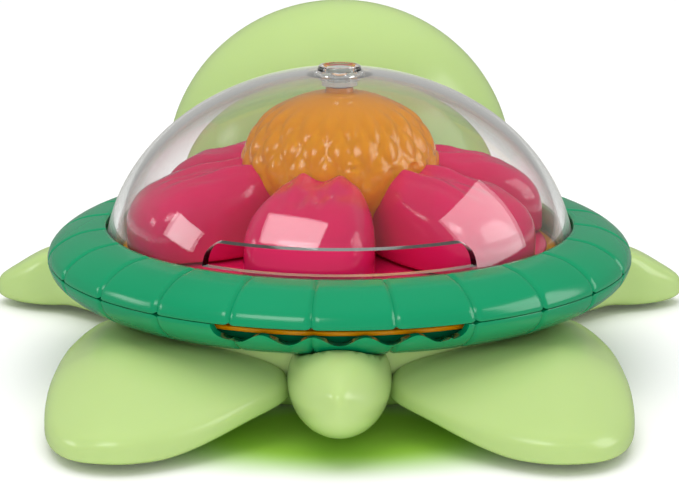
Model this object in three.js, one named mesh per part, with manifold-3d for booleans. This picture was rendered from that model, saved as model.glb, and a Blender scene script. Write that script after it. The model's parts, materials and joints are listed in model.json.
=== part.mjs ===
// A toy turtle garden sprinkler: a lime body with head, flippers and tail, an emerald shell
// ring in two halves, and a clear dome over a flower that water turns about a standpipe.
// Millimetres, +Z up, +Y towards the head, +X to the turtle's right as seen from its tail.
// The origin is on the ground, under the axis that the flower turns about.
import * as THREE from "three";
import { mergeVertices } from "three/addons/utils/BufferGeometryUtils.js";
import Module from "manifold-3d";

const wasm = await Module();
wasm.setup();

// ---------------------------------------------------------------- driving dimensions
const GAP = 0.3; // between two pieces that touch
const WALL = 2.5; // moulded wall

const RING_R = 100; // outer radius of the shell ring, where its halves meet
const PARTING_Z = 38; // height of the joint between the halves
const RING_HALF = 10.9; // height of the upper half
const LOWER_SHARE = 1.1; // the lower half is this much deeper
const LIP_R = 80.4; // hole in the upper half, round the dome
const PANELS = 24; // panels moulded round the ring
const PANEL_TURN = -5; // degrees from the tail to the nearest groove
const GROOVE_W = 1.8;
const GROOVE_D = 1.0;

const SLOT_HALF = 23.4; // degrees either side of the tail
const SLOT_END = 20.5; // where the slot's rounded ends begin
const SLOT_DEEP = 3.75; // mean depth of the outlet slot
const SLOT_WAVE = 1.65; // its lip waves by this much
const SLOT_PITCH = 9.3; // degrees from wave to wave

const DOME_A = 80.9; // dome, half-width of the ellipsoid
const DOME_C = 67; // its half-height
const DOME_Z = 34.3; // its centre
const DOME_WALL = 3;
const NOTCH_HALF = 33.5; // drain notch in the dome's foot, degrees either side of the tail
const NOTCH_TOP = PARTING_Z + 19;
const NOTCH_LOW = 49.4; // just over the ring's lip
const BOSS_R = 7.2; // boss under the dome's pole
const BOSS_TOP = 102.6;
const BOSS_LOW = 96.4;
const RECESS_R = 5.7; // recess in the boss, which the nozzle's flange sits in
const RECESS_FLOOR = 99.9;

const PAN_R = 80; // belly pan
const FOOT_R = 50; // its flat foot
const PAN_TOP = 25.5;

const TRAY_Z = 40.2; // top of the tray's raised floor
const TRAY_R = 75.2;
const SHELF_TOP = 35.6; // tray's shelf, which the dome stands on
const SHELF_R = 92.5;

const CORE_R = 33.5; // flower's centre
const CORE_Z = 68; // its widest height
const WAIST_R = 26; // its waist, which the petals reach in to
const DISC_R = 71; // plate that carries the petals
const DISC_TOP = 42.6;
const DISC_WALL = 1.8;
const HUB_R = 8.2; // hub inside the flower's centre
const HUB_BORE = 6.2;
const HUB_LOW = 37.6;
const IMPELLER_R = 27;
const BLADES = 8;
const PETALS = 6;
const PETAL_TURN = -10; // degrees from the tail to the nearest petal
const PETAL_TIP = 73.2; // radius that a petal reaches
const PETAL_ROOT = 34; // radius where its top is at its highest
const PETAL_HIGH = PARTING_Z + 33.6; // that height
const PETAL_FALL = 0.236; // fall per millimetre out from there
const PETAL_WIDEST = 49; // height where a petal is widest
const VALLEY_DEEP = 3.2; // valley along its top
const VALLEY_HALF = 4.5;

const CHAMBER_R = 15; // water chamber at the foot of the standpipe
const CHAMBER_TOP = 25.6;
const PIPE_R = 4.2; // standpipe
const PIPE_TOP = 95.5;
const PIPE_NECK_R = 2.6; // its thin top end

const INLET_Y = 88; // axis of the hose coupling, which lies along X
const INLET_Z = 17;
const NUT_IN = -59; // the nut's inner and outer ends
const NUT_OUT = -82;
const NUT_R = 15.5;
const THREAD_R = 13.2; // bore for a 3/4 inch garden hose thread
const INLET_PIPE_R = 5.5;

const SCREW_R = 1.2;
const SCREW_HEAD_R = 2.8;
const RING_SCREW_RADIUS = 90; // circle that the ring's screws stand on
const RING_SCREWS = [45, 135, 225, 315]; // degrees from the tail
const POST_R = 3.2; // posts of the upper half that they bite into
const POST_LOW = 33;
const RING_SCREW_SEAT = 30.9; // top of the counterbore in the lower half
const BASE_SCREW_RADIUS = 74;
const BASE_SCREWS = [70, 115, 245, 290];

const HEAD = { y: 136, half: 69, deep: 52, up: 67, down: 36 };
const NECK = { half: 27, low: 6, high: 25, from: 80.4, to: 104 };
const EYE = { x: 27, z: 62, half: 9, high: 13, deep: 4.2 };
const TAIL = { y: -80, z: 17.5, half: 16.4, long: 41, high: 15.2 };

const LIME = { color: 0xb9dc85, roughness: 0.32 };
const EMERALD = { color: 0x009a68, roughness: 0.25 };
const AMBER = { color: 0xe39b08, roughness: 0.22 };
const CRIMSON = { color: 0xc72a5c, roughness: 0.22 };
const CLEAR = { color: 0xe9eeec, roughness: 0.05, opacity: 0.25, transparent: true };
const GREY = { color: 0x9aa09e, roughness: 0.3 };
const WHITE = { color: 0xf0f0ea, roughness: 0.35 };
const RUBBER = { color: 0x1c1c1c, roughness: 0.7 };
const STEEL = { color: 0xb8bcc0, roughness: 0.3, metalness: 1 };
const BLACK = { color: 0x111111, roughness: 0.15 };

// ---------------------------------------------------------------- helpers
const radians = THREE.MathUtils.degToRad;
const rise = THREE.MathUtils.smoothstep;

// A bearing is in degrees from the tail (-Y) towards +X.
function polar(radius, bearing, z = 0) {
  const a = radians(bearing);
  return new THREE.Vector3(radius * Math.sin(a), -radius * Math.cos(a), z);
}

// A closed geometry as a solid to join and cut, its faces turned to point out.
function solid(geometry) {
  const bare = geometry.index ? geometry.toNonIndexed() : geometry.clone();
  bare.deleteAttribute("normal");
  bare.deleteAttribute("uv");
  const merged = mergeVertices(bare, 1e-4);
  const vertProperties = merged.attributes.position.array;
  const triVerts = new Uint32Array(merged.index.array);
  const made = new wasm.Manifold(new wasm.Mesh({ numProp: 3, vertProperties, triVerts }));
  if (made.volume() > 0) return made;
  triVerts.reverse();
  return new wasm.Manifold(new wasm.Mesh({ numProp: 3, vertProperties, triVerts }));
}

function geometryOf(manifold) {
  const mesh = manifold.getMesh();
  const geometry = new THREE.BufferGeometry();
  geometry.setAttribute("position", new THREE.BufferAttribute(mesh.vertProperties, 3));
  geometry.setIndex(new THREE.BufferAttribute(mesh.triVerts, 1));
  geometry.computeVertexNormals();
  return geometry;
}

// A profile of [radius, z] points turned about Z, closed on itself or on the axis.
function turned(profile, segments = 32) {
  const points = profile.map(([r, z]) => new THREE.Vector2(r, z));
  if (profile[0][0] > 0) points.push(points[0].clone());
  return new THREE.LatheGeometry(points, segments).rotateX(Math.PI / 2);
}

function cylinder(radius, z0, z1, x = 0, y = 0, segments = 16) {
  return new THREE.CylinderGeometry(radius, radius, z1 - z0, segments)
    .rotateX(Math.PI / 2)
    .translate(x, y, (z0 + z1) / 2);
}

function box(x0, x1, y0, y1, z0, z1) {
  return new THREE.BoxGeometry(x1 - x0, y1 - y0, z1 - z0).translate(
    (x0 + x1) / 2,
    (y0 + y1) / 2,
    (z0 + z1) / 2,
  );
}

// A surface through rows of points, all of the same length. Each row is closed. The rows
// close on each other where ring is true, or else the first and last are filled to a middle.
function skin(rows, ring = false) {
  const count = rows[0].length;
  const vertices = rows.flat();
  const index = [];
  const last = ring ? rows.length : rows.length - 1;
  for (let j = 0; j < last; j++) {
    for (let i = 0; i < count; i++) {
      const a = j * count + i;
      const b = j * count + ((i + 1) % count);
      const c = ((j + 1) % rows.length) * count + i;
      const d = ((j + 1) % rows.length) * count + ((i + 1) % count);
      index.push(a, b, d, a, d, c);
    }
  }
  if (!ring) {
    for (const end of [0, rows.length - 1]) {
      const middle = vertices.length;
      const sum = rows[end].reduce((s, p) => s.add(p), new THREE.Vector3());
      vertices.push(sum.divideScalar(count));
      for (let i = 0; i < count; i++) {
        const a = end * count + i;
        const b = end * count + ((i + 1) % count);
        if (end === 0) index.push(middle, b, a);
        else index.push(middle, a, b);
      }
    }
  }
  const geometry = new THREE.BufferGeometry().setFromPoints(vertices);
  geometry.setIndex(index);
  return geometry;
}

// A section of [radius, z] points carried round Z through a list of bearings.
function swept(bearings, sectionAt) {
  return skin(bearings.map((b) => sectionAt(b).map(([r, z]) => polar(r, b, z))));
}

function steps(from, to, count) {
  return Array.from({ length: count + 1 }, (_, i) => from + ((to - from) * i) / count);
}

// Copies of one outline in plan, each shrunk towards its middle and set to a height.
function stacked(outline, levels) {
  const middle = outline
    .reduce((s, p) => s.add(p), new THREE.Vector2())
    .divideScalar(outline.length);
  return skin(
    levels.map(({ scale, inset = 0, height }) =>
      outline.map((p) => {
        const arm = p.clone().sub(middle);
        const reach = Math.max(arm.length() * scale - inset, 0.5);
        const q = arm.setLength(reach).add(middle);
        return new THREE.Vector3(q.x, q.y, height(q.x, q.y));
      }),
    ),
  );
}

// A smooth closed outline in plan through a few points.
function closedCurve(points, count) {
  const path = new THREE.CatmullRomCurve3(
    points.map(([x, y]) => new THREE.Vector3(x, y, 0)),
    true,
    "centripetal",
  );
  const spaced = path.getSpacedPoints(count).slice(0, count);
  return spaced.map((p) => new THREE.Vector2(p.x, p.y));
}

// An ellipsoid with its own half-heights above and below its middle.
function egg(x, y, z, halfX, halfY, up, down, segments = 24) {
  const geometry = new THREE.SphereGeometry(1, segments, segments / 2).rotateX(Math.PI / 2);
  const at = geometry.attributes.position;
  for (let i = 0; i < at.count; i++) {
    const h = at.getZ(i);
    at.setXYZ(i, x + halfX * at.getX(i), y + halfY * at.getY(i), z + h * (h > 0 ? up : down));
  }
  return geometry;
}

function tube(points, radius, sides, count) {
  const corners = steps(0, 360, sides).slice(0, sides);
  const round = new THREE.Shape(
    corners.map((a) => new THREE.Vector2(radius, 0).rotateAround(new THREE.Vector2(), radians(a))),
  );
  const extrudePath = new THREE.CatmullRomCurve3(points);
  return new THREE.ExtrudeGeometry(round, { steps: count, extrudePath });
}

const sprinkler = new THREE.Group();

function piece(name, shape, finish) {
  const made = shape.isBufferGeometry ? solid(shape) : shape;
  const mesh = new THREE.Mesh(geometryOf(made), new THREE.MeshStandardMaterial(finish));
  mesh.name = name;
  sprinkler.add(mesh);
}

// A plain ring or tube about Z.
function sleeve(name, inner, outer, z0, z1, finish, segments = 20) {
  const profile = [
    [inner, z0],
    [outer, z0],
    [outer, z1],
    [inner, z1],
  ];
  piece(name, turned(profile, segments), finish);
}

// ---------------------------------------------------------------- shell ring
// Half sections, as [radius, distance from the parting plane].
const RING_OUTSIDE = [
  [RING_R, 0],
  [98.8, 3.5],
  [94.6, 7.1],
  [88.4, 9.8],
  [LIP_R, RING_HALF],
];
const RING_INSIDE = [
  [87.6, RING_HALF - 3.5],
  [93, 5.1],
  [96.3, 2.5],
  [RING_R - WALL - 0.1, 0],
];
const LIP_LOW = RING_HALF - 3;
const HOLD_DOWN = [
  [LIP_R, LIP_LOW],
  [82.2, LIP_LOW],
  [82.2, 0.4],
  [84.2, 0.4],
  [84.2, LIP_LOW],
];
const FLANGE_R = 72; // the lower half's flange reaches in to here, over the pan's rim
const SHELF_REST = [
  [FLANGE_R, RING_HALF],
  [FLANGE_R, RING_HALF - WALL],
  [84, RING_HALF - WALL],
  [84, 3.8],
  [86, 3.8],
  [86, RING_HALF - 3.2],
];

const ringBearings = [];
for (let i = 0; i < PANELS; i++) {
  const groove = PANEL_TURN + (i * 360) / PANELS;
  const half = THREE.MathUtils.radToDeg(GROOVE_W / 2 / RING_R);
  ringBearings.push(groove - half, groove, groove + half);
}

// The bottom of a groove is the outer face moved towards the middle of the section.
function sunk([r, h]) {
  const away = new THREE.Vector2(r - 88, h).setLength(GROOVE_D);
  return [r - away.x, h - away.y];
}

function ringHalf(side, inside) {
  const rows = ringBearings.map((bearing, i) => {
    const outside = i % 3 === 1 ? RING_OUTSIDE.map(sunk) : RING_OUTSIDE;
    return [...outside, ...inside].map(([r, h]) =>
      polar(r, bearing, PARTING_Z + (side > 0 ? h : -h * LOWER_SHARE) + (side * GAP) / 2),
    );
  });
  return solid(skin(rows, true));
}

// The outlet slot is a gap between the halves, with a waved lower lip and rounded ends.
function slotDepth(bearing) {
  const b = Math.abs(bearing);
  if (b < SLOT_END) return SLOT_DEEP + SLOT_WAVE * Math.cos((2 * Math.PI * b) / SLOT_PITCH);
  const t = (b - SLOT_END) / (SLOT_HALF - SLOT_END);
  return 0.4 + 4.4 * Math.sqrt(Math.max(0, 1 - t * t));
}

const slotCutter = solid(
  swept(steps(-SLOT_HALF, SLOT_HALF, 30), (b) => [
    [88, PARTING_Z - slotDepth(b)],
    [RING_R + 4, PARTING_Z - slotDepth(b)],
    [RING_R + 4, PARTING_Z + 0.1],
    [88, PARTING_Z + 0.1],
  ]),
);

let ringUpper = ringHalf(1, [...HOLD_DOWN, ...RING_INSIDE]);
let ringLower = ringHalf(-1, [...SHELF_REST, ...RING_INSIDE]).subtract(slotCutter);

// ---------------------------------------------------------------- belly pan
// A shallow bowl with a low collar that holds the foot of the water chamber.
const COLLAR_IN = CHAMBER_R + 0.4;
const COLLAR_OUT = COLLAR_IN + 2;
const COLLAR_TOP = 7;
const panOutside = [
  [0, 0],
  [FOOT_R, 0],
  [66, 3],
  [75, 9.5],
  [79, 17],
  [PAN_R, PAN_TOP],
];
const panProfile = [
  ...panOutside,
  [PAN_R - WALL, PAN_TOP],
  [79 - WALL, 17.6],
  [72.9, 10.9],
  [64.8, 5.3],
  [FOOT_R, WALL],
  [COLLAR_OUT, WALL],
  [COLLAR_OUT, COLLAR_TOP],
  [COLLAR_IN, COLLAR_TOP],
  [COLLAR_IN, WALL],
  [0, WALL],
];
const panFilled = solid(turned([...panOutside, [0, PAN_TOP]], 28));
let pan = solid(turned(panProfile, 28));

// ---------------------------------------------------------------- screws
// A pan-head screw along +Z: its head's bearing face is at z.
function screw(name, x, y, z, length) {
  const profile = [
    [0, z - 2],
    [1.6, z - 2],
    [SCREW_HEAD_R, z - 1.2],
    [SCREW_HEAD_R, z],
    [SCREW_R, z],
    [SCREW_R, z + length - 1.2],
    [0, z + length],
  ];
  piece(name, turned(profile, 10).translate(x, y, 0), STEEL);
}

RING_SCREWS.forEach((bearing, i) => {
  const { x, y } = polar(RING_SCREW_RADIUS, bearing);
  ringUpper = ringUpper
    .add(solid(cylinder(POST_R, POST_LOW, PARTING_Z + 7.5, x, y, 12)))
    .subtract(solid(cylinder(SCREW_R + GAP, 31, 42, x, y, 8)));
  ringLower = ringLower
    .add(solid(cylinder(SCREW_HEAD_R + 1.8, 29, POST_LOW - GAP, x, y, 12)))
    .subtract(solid(cylinder(SCREW_HEAD_R + 0.5, 20, RING_SCREW_SEAT, x, y, 12)))
    .subtract(solid(cylinder(SCREW_R + GAP, 20, 36, x, y, 8)));
  screw(`ring_screw_${i + 1}`, x, y, RING_SCREW_SEAT - GAP, 10);
});

BASE_SCREWS.forEach((bearing, i) => {
  const { x, y } = polar(BASE_SCREW_RADIUS, bearing);
  pan = pan
    .add(solid(cylinder(4, 8, PAN_TOP, x, y, 12)).intersect(panFilled))
    .subtract(solid(cylinder(SCREW_HEAD_R + 0.5, -1, 17.3, x, y, 12)))
    .subtract(solid(cylinder(SCREW_R + GAP, 10, 40, x, y, 8)));
  ringLower = ringLower
    .add(solid(cylinder(3.4, 27, 33.4, x, y, 12)))
    .subtract(solid(cylinder(SCREW_R + GAP, 20, 40, x, y, 8)));
  screw(`base_screw_${i + 1}`, x, y, 17, 14);
});

// ---------------------------------------------------------------- tray and dome
const postHoles = RING_SCREWS.map((bearing) => {
  const { x, y } = polar(RING_SCREW_RADIUS, bearing);
  return solid(cylinder(POST_R + 0.6, 30, 40, x, y, 12));
});
const TRAY_WALL = 2;
const SHELF_WALL = 1.4;
const TRAY_HOLE_R = HUB_R + 0.9; // the flower's hub passes through it
const trayProfile = [
  [TRAY_HOLE_R, TRAY_Z],
  [TRAY_R, TRAY_Z],
  [TRAY_R, SHELF_TOP],
  [SHELF_R, SHELF_TOP],
  [SHELF_R, SHELF_TOP - SHELF_WALL],
  [TRAY_R - TRAY_WALL, SHELF_TOP - SHELF_WALL],
  [TRAY_R - TRAY_WALL, TRAY_Z - TRAY_WALL],
  [TRAY_HOLE_R, TRAY_Z - TRAY_WALL],
];
const tray = postHoles.reduce((s, hole) => s.subtract(hole), solid(turned(trayProfile, 30)));
piece("flower_tray", tray, AMBER);

function domeArc(wall, from, to, count) {
  return steps(from, to, count).map((t) => [
    (DOME_A - wall) * Math.sin(radians(t)),
    DOME_Z + (DOME_C - wall) * Math.cos(radians(t)),
  ]);
}
const DOME_FOOT = SHELF_TOP + GAP;
const FLANGE = { r: 86, high: 2.2 }; // dome's foot flange, under the ring's lip
const BOSS_HOLE_R = PIPE_NECK_R + 0.1;
const domeProfile = [
  [RECESS_R, BOSS_TOP],
  [BOSS_R, BOSS_TOP],
  ...domeArc(0, 5.2, 86.5, 7),
  [FLANGE.r, DOME_FOOT + FLANGE.high],
  [FLANGE.r, DOME_FOOT],
  [DOME_A - DOME_WALL - 0.1, DOME_FOOT],
  ...domeArc(DOME_WALL, 86, 5.4, 7),
  [BOSS_R, BOSS_LOW],
  [BOSS_HOLE_R, BOSS_LOW],
  [BOSS_HOLE_R, RECESS_FLOOR],
  [RECESS_R, RECESS_FLOOR],
];

// The drain notch has a flat top and rounded upper corners.
function notchTop(bearing) {
  const t = Math.abs(bearing) / NOTCH_HALF;
  return NOTCH_LOW + (NOTCH_TOP - NOTCH_LOW) * Math.pow(Math.max(0, 1 - t ** 10), 0.5);
}
const notchShares = [-1, -0.985, -0.95, -0.88, -0.75, -0.5, 0, 0.5, 0.75, 0.88, 0.95, 0.985, 1];
const notchBearings = notchShares.map((share) => share * NOTCH_HALF);
const NOTCH_IN = 68; // the cutter's inner and outer radius
const NOTCH_OUT = 90;
const notch = solid(
  swept(notchBearings, (b) => [
    [NOTCH_IN, NOTCH_LOW],
    [NOTCH_OUT, NOTCH_LOW],
    [NOTCH_OUT, notchTop(b) + 0.1],
    [NOTCH_IN, notchTop(b) + 0.1],
  ]),
);
piece("dome", solid(turned(domeProfile, 32)).subtract(notch), CLEAR);

// ---------------------------------------------------------------- flower, which turns
const coreShell = [
  [PIPE_NECK_R + 0.4, 94.2],
  [4.6, 94.2],
  [4.8, 92.7],
  [14, 91.2],
  [24, 86.5],
  [30.5, 78.5],
  [CORE_R, CORE_Z],
  [31.5, 62],
  [WAIST_R, 54],
  [WAIST_R, DISC_TOP - DISC_WALL],
  [WAIST_R - 2.4, DISC_TOP - DISC_WALL],
  [WAIST_R - 2.4, 54.8],
  [29, 62.8],
  [CORE_R - 2.4, CORE_Z],
  [28.4, 77],
  [22.6, 84.2],
  [13.2, 88.6],
  [HUB_R, 89.2],
  [HUB_R, HUB_LOW],
  [HUB_BORE, HUB_LOW],
  [HUB_BORE, 85.5],
  [PIPE_NECK_R + 0.4, 86.3],
];
piece("flower_core", turned(coreShell, 24), AMBER);
sleeve("petal_plate", WAIST_R + GAP, DISC_R, DISC_TOP - DISC_WALL, DISC_TOP, CRIMSON, 28);

// A petal lies along +X here: a puffed lobe, narrow where it meets the centre, with a valley
// along its top, and open underneath.
const petalSide = [
  [22, 10.5],
  [34, 16.5],
  [45, 19.6],
  [55, 20.6],
  [64, 19.6],
  [69.8, 15.6],
  [72.4, 8],
];
const petalOutline = closedCurve(
  [
    [16, 0],
    ...petalSide.map(([u, w]) => [u, -w]),
    [PETAL_TIP, 0],
    ...[...petalSide].reverse(),
  ],
  16,
);
function petalTop(u, w) {
  const valley = VALLEY_DEEP * Math.exp(-((w / VALLEY_HALF) ** 2)) * rise(PETAL_TIP - u, 6, 34);
  return PETAL_HIGH - PETAL_FALL * (u - PETAL_ROOT) - valley;
}
const petalShell = solid(
  stacked(petalOutline, [
    { scale: 0.97, height: () => DISC_TOP + GAP },
    { scale: 1, height: () => PETAL_WIDEST },
    { scale: 0.96, height: (u, w) => petalTop(u, w) - 8 },
    { scale: 0.8, height: (u, w) => petalTop(u, w) - 2.4 },
    { scale: 0.5, height: petalTop },
  ]),
).subtract(
  solid(
    stacked(petalOutline, [
      { scale: 0.97, inset: 2, height: () => DISC_TOP - 1 },
      { scale: 1, inset: 2, height: () => PETAL_WIDEST },
      { scale: 0.9, inset: 2.4, height: (u, w) => petalTop(u, w) - 9.5 },
      { scale: 0.6, inset: 2.4, height: (u, w) => petalTop(u, w) - 3.4 },
    ]),
  ),
);
const coreGrown = [
  [0, 40],
  [WAIST_R + 0.4, 40],
  [WAIST_R + 0.4, 53.8],
  [31.9, 61.7],
  [CORE_R + 0.4, CORE_Z],
  [CORE_R + 0.4, 90],
  [0, 90],
];
const coreClear = solid(turned(coreGrown, 24));
for (let i = 0; i < PETALS; i++) {
  const bearing = PETAL_TURN + (i * 360) / PETALS;
  const placed = petalShell.rotate([0, 0, bearing - 90]).subtract(coreClear);
  piece(`petal_${i + 1}`, placed, CRIMSON);
}

// Eight curved blades on a hub, under a disc.
const IMPELLER_BORE = PIPE_R + 0.5;
const BLADE_HALF = 0.8;
const BLADE_LEAN = 25; // degrees that a blade leans from the radius
const impellerProfile = [
  [IMPELLER_BORE, CHAMBER_TOP + 2],
  [HUB_R, CHAMBER_TOP + 2],
  [HUB_R, HUB_LOW - 2],
  [IMPELLER_R, HUB_LOW - 2],
  [IMPELLER_R, HUB_LOW - GAP],
  [IMPELLER_BORE, HUB_LOW - GAP],
];
let impeller = solid(turned(impellerProfile, 24));
for (let i = 0; i < BLADES; i++) {
  const blade = box(-1.5, IMPELLER_R - HUB_R - 0.5, -BLADE_HALF, BLADE_HALF, CHAMBER_TOP + 3, HUB_LOW - 1)
    .rotateZ(radians(BLADE_LEAN))
    .translate(HUB_R, 0, 0)
    .rotateZ(radians((i * 360) / BLADES));
  impeller = impeller.add(solid(blade));
}
impeller = impeller.subtract(solid(cylinder(IMPELLER_BORE, 0, 60, 0, 0, 24)));
piece("impeller", impeller, WHITE);

sleeve("bush_lower", PIPE_R + GAP, HUB_BORE - GAP, HUB_LOW + 0.4, 46, WHITE, 16);
sleeve("bush_upper", PIPE_R + GAP, HUB_BORE - GAP, 70, 77, WHITE, 16);
sleeve("thrust_washer", PIPE_R + GAP, 8.4, CHAMBER_TOP + GAP, CHAMBER_TOP + 1.6, STEEL);

// ---------------------------------------------------------------- water path
// From the chamber out through the pan's wall, and round to the coupling's axis.
function inletRoute(extra) {
  const bends = [
    [-7.2, 12.4],
    [-14, 24],
    [-24, 42],
    [-33, 60],
    [-38, 72],
    [-45, 83],
    [-56, INLET_Y],
    [-64, INLET_Y],
  ].map(([x, y]) => new THREE.Vector3(x, y, INLET_Z));
  const first = bends[0].clone().multiply(new THREE.Vector3(1 - extra / 10, 1 - extra / 10, 1));
  const last = new THREE.Vector3(-64 - extra, INLET_Y, INLET_Z);
  return extra ? [first, ...bends.slice(1, -1), last] : bends;
}
const inletBore = solid(tube(inletRoute(3), INLET_PIPE_R - 1.4, 8, 14));
const inletClear = solid(tube(inletRoute(0), INLET_PIPE_R + 0.6, 8, 14));
piece("inlet_pipe", solid(tube(inletRoute(0), INLET_PIPE_R, 8, 14)).subtract(inletBore), GREY);
pan = pan.subtract(inletClear);

const standProfile = [
  [0, WALL + GAP],
  [CHAMBER_R, WALL + GAP],
  [CHAMBER_R, CHAMBER_TOP],
  [PIPE_R, CHAMBER_TOP],
  [PIPE_R, 80],
  [PIPE_NECK_R, 81.5],
  [PIPE_NECK_R, PIPE_TOP],
  [1.6, PIPE_TOP],
  [1.6, 81],
  [2.8, 79.5],
  [2.8, CHAMBER_TOP - 2.4],
  [CHAMBER_R - WALL, CHAMBER_TOP - 2.4],
  [CHAMBER_R - WALL, 5.5],
  [0, 5.5],
];
let standpipe = solid(turned(standProfile, 24)).subtract(inletClear);
for (const side of [-1, 1]) {
  standpipe = standpipe.subtract(
    solid(cylinder(1, CHAMBER_TOP - 4, CHAMBER_TOP + 2, 11 * side, 0, 8)),
  );
}
piece("standpipe", standpipe, GREY);

piece(
  "spray_nozzle",
  turned(
    [
      [0.7, 93.5],
      [1.3, 93.5],
      [1.3, PIPE_TOP + GAP],
      [2.1, PIPE_TOP + GAP],
      [2.1, RECESS_FLOOR + GAP],
      [RECESS_R - 0.5, RECESS_FLOOR + GAP],
      [RECESS_R - 0.5, RECESS_FLOOR + 1.7],
      [0.7, RECESS_FLOOR + 1.7],
    ],
    16,
  ),
  GREY,
);
sleeve("nozzle_o_ring", PIPE_NECK_R + GAP, 6, 94.8, 96.1, RUBBER);

// A profile about the coupling's own axis: [radius, distance out along -X].
function onInlet(profile, segments) {
  const outward = profile.map(([r, x]) => [r, -x]);
  return turned(outward, segments).rotateY(-Math.PI / 2).translate(0, INLET_Y, INLET_Z);
}
const FLANGE_X = -63;
piece(
  "hose_tail",
  onInlet(
    [
      [INLET_PIPE_R + GAP, -56],
      [8, -56],
      [8, FLANGE_X],
      [11.8, FLANGE_X],
      [11.8, FLANGE_X - 2.2],
      [INLET_PIPE_R - 1.2, FLANGE_X - 2.2],
      [INLET_PIPE_R - 1.2, -64.4],
      [INLET_PIPE_R + GAP, -64.4],
    ],
    20,
  ),
  GREY,
);
piece(
  "swivel_nut",
  onInlet(
    [
      [8.4, NUT_IN],
      [NUT_R, NUT_IN],
      [NUT_R, NUT_OUT],
      [THREAD_R, NUT_OUT],
      [THREAD_R, FLANGE_X + GAP],
      [8.4, FLANGE_X + GAP],
    ],
    24,
  ),
  EMERALD,
);
piece(
  "hose_washer",
  onInlet(
    [
      [6.6, FLANGE_X - 2.5],
      [12.7, FLANGE_X - 2.5],
      [12.7, FLANGE_X - 5.3],
      [6.6, FLANGE_X - 5.3],
    ],
    20,
  ),
  RUBBER,
);
piece(
  "filter_screen",
  onInlet(
    [
      [0, FLANGE_X - 2.6],
      [6.2, FLANGE_X - 2.6],
      [6.2, FLANGE_X - 3.8],
      [4.6, FLANGE_X - 3.8],
      [0, FLANGE_X - 5.1],
    ],
    16,
  ),
  STEEL,
);

// ---------------------------------------------------------------- lime body
// What the limbs must stay clear of: the pan and the ring, each grown by a small gap.
const bodyClear = solid(
  turned(
    [
      [0, -9],
      [FOOT_R + 0.7, -9],
      [FOOT_R + 0.7, -0.7],
      [66.7, 2.1],
      [76, 8.8],
      [80.1, 16.6],
      [81, 25.2],
      [88.7, 26.5],
      [95.4, 29.5],
      [99.6, 33.7],
      [RING_R + 0.7, PARTING_Z],
      [99.6, 42.1],
      [95.2, 46],
      [88.7, 48.5],
      [82, 49.6],
      [0, 49.6],
    ],
    36,
  ),
);

// A flipper is a hollow lobe, open where it meets the pan. low and high give the heights of
// its underside and its crown at a place in plan.
function flipper(name, points, low, high) {
  const outline = closedCurve(points, 22);
  const shell = solid(
    stacked(outline, [
      { scale: 0.7, height: low },
      { scale: 0.93, height: (x, y) => low(x, y) + 2 },
      { scale: 1, height: (x, y) => low(x, y) + 6.5 },
      { scale: 0.96, height: (x, y) => (low(x, y) + 6.5) * 0.4 + high(x, y) * 0.6 },
      { scale: 0.8, height: (x, y) => high(x, y) - 2.5 },
      { scale: 0.45, height: high },
    ]),
  );
  const hollow = solid(
    stacked(outline, [
      { scale: 0.8, inset: 2, height: (x, y) => low(x, y) + 2.2 },
      { scale: 1, inset: 2.5, height: (x, y) => low(x, y) + 6.5 },
      { scale: 0.85, inset: 2.5, height: (x, y) => high(x, y) - 5 },
      { scale: 0.45, inset: 2.5, height: (x, y) => high(x, y) - 2.2 },
    ]),
  );
  const left = shell.subtract(hollow).subtract(bodyClear);
  piece(`${name}_left`, left, LIME);
  piece(`${name}_right`, left.mirror([1, 0, 0]), LIME);
}
flipper(
  "rear_flipper",
  [
    [-83, -14],
    [-90.5, -36],
    [-92.5, -64],
    [-91.5, -92],
    [-87.5, -109],
    [-79.5, -120],
    [-67, -124],
    [-55, -121],
    [-43, -113.5],
    [-30, -102],
    [-17.4, -88],
    [-17.2, -76],
    [-34, -60],
    [-58, -30],
    [-70, -14],
  ],
  (x) => 0.4 + 8 * rise(x, -56, -14),
  (x, y) => 25 - 8 * rise(-y, 70, 122) - 4 * rise(-x, 66, 92),
);
flipper(
  "front_flipper",
  [
    [-60, 47],
    [-66, 30],
    [-80, 30],
    [-92, 41],
    [-104, 52],
    [-118, 58],
    [-128, 67],
    [-127, 76],
    [-115, 82],
    [-99, 78],
    [-84, 69],
    [-68, 58],
  ],
  (x) => 2.5 - 1.9 * rise(-x, 96, 122),
  (x) => 22.5 - 7 * rise(-x, 106, 128),
);

piece(
  "tail",
  solid(egg(0, TAIL.y, TAIL.z, TAIL.half, TAIL.long, TAIL.high, TAIL.high, 20)).subtract(bodyClear),
  LIME,
);

const headShell = solid(egg(0, HEAD.y, PARTING_Z, HEAD.half, HEAD.deep, HEAD.up, HEAD.down));
const headHollow = solid(
  egg(
    0,
    HEAD.y,
    PARTING_Z,
    HEAD.half - WALL,
    HEAD.deep - WALL,
    HEAD.up - WALL,
    HEAD.down - WALL,
  ),
);
const neckOval = new THREE.CylinderGeometry(1, 1, NECK.to - NECK.from + 8, 20)
  .scale(NECK.half, 1, (NECK.high - NECK.low) / 2)
  .translate(0, (NECK.from + NECK.to) / 2, (NECK.low + NECK.high) / 2);
const headSplit = HEAD.y + 4;
const behind = solid(box(-99, 99, 0, headSplit - GAP / 2, -9, 150));
const before = solid(box(-99, 99, headSplit + GAP / 2, 250, -9, 150));
let headBack = headShell.add(solid(neckOval)).subtract(headHollow).intersect(behind);
let headFront = headShell.subtract(headHollow).intersect(before);
headBack = headBack.subtract(bodyClear);
piece("head_back", headBack, LIME);
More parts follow.
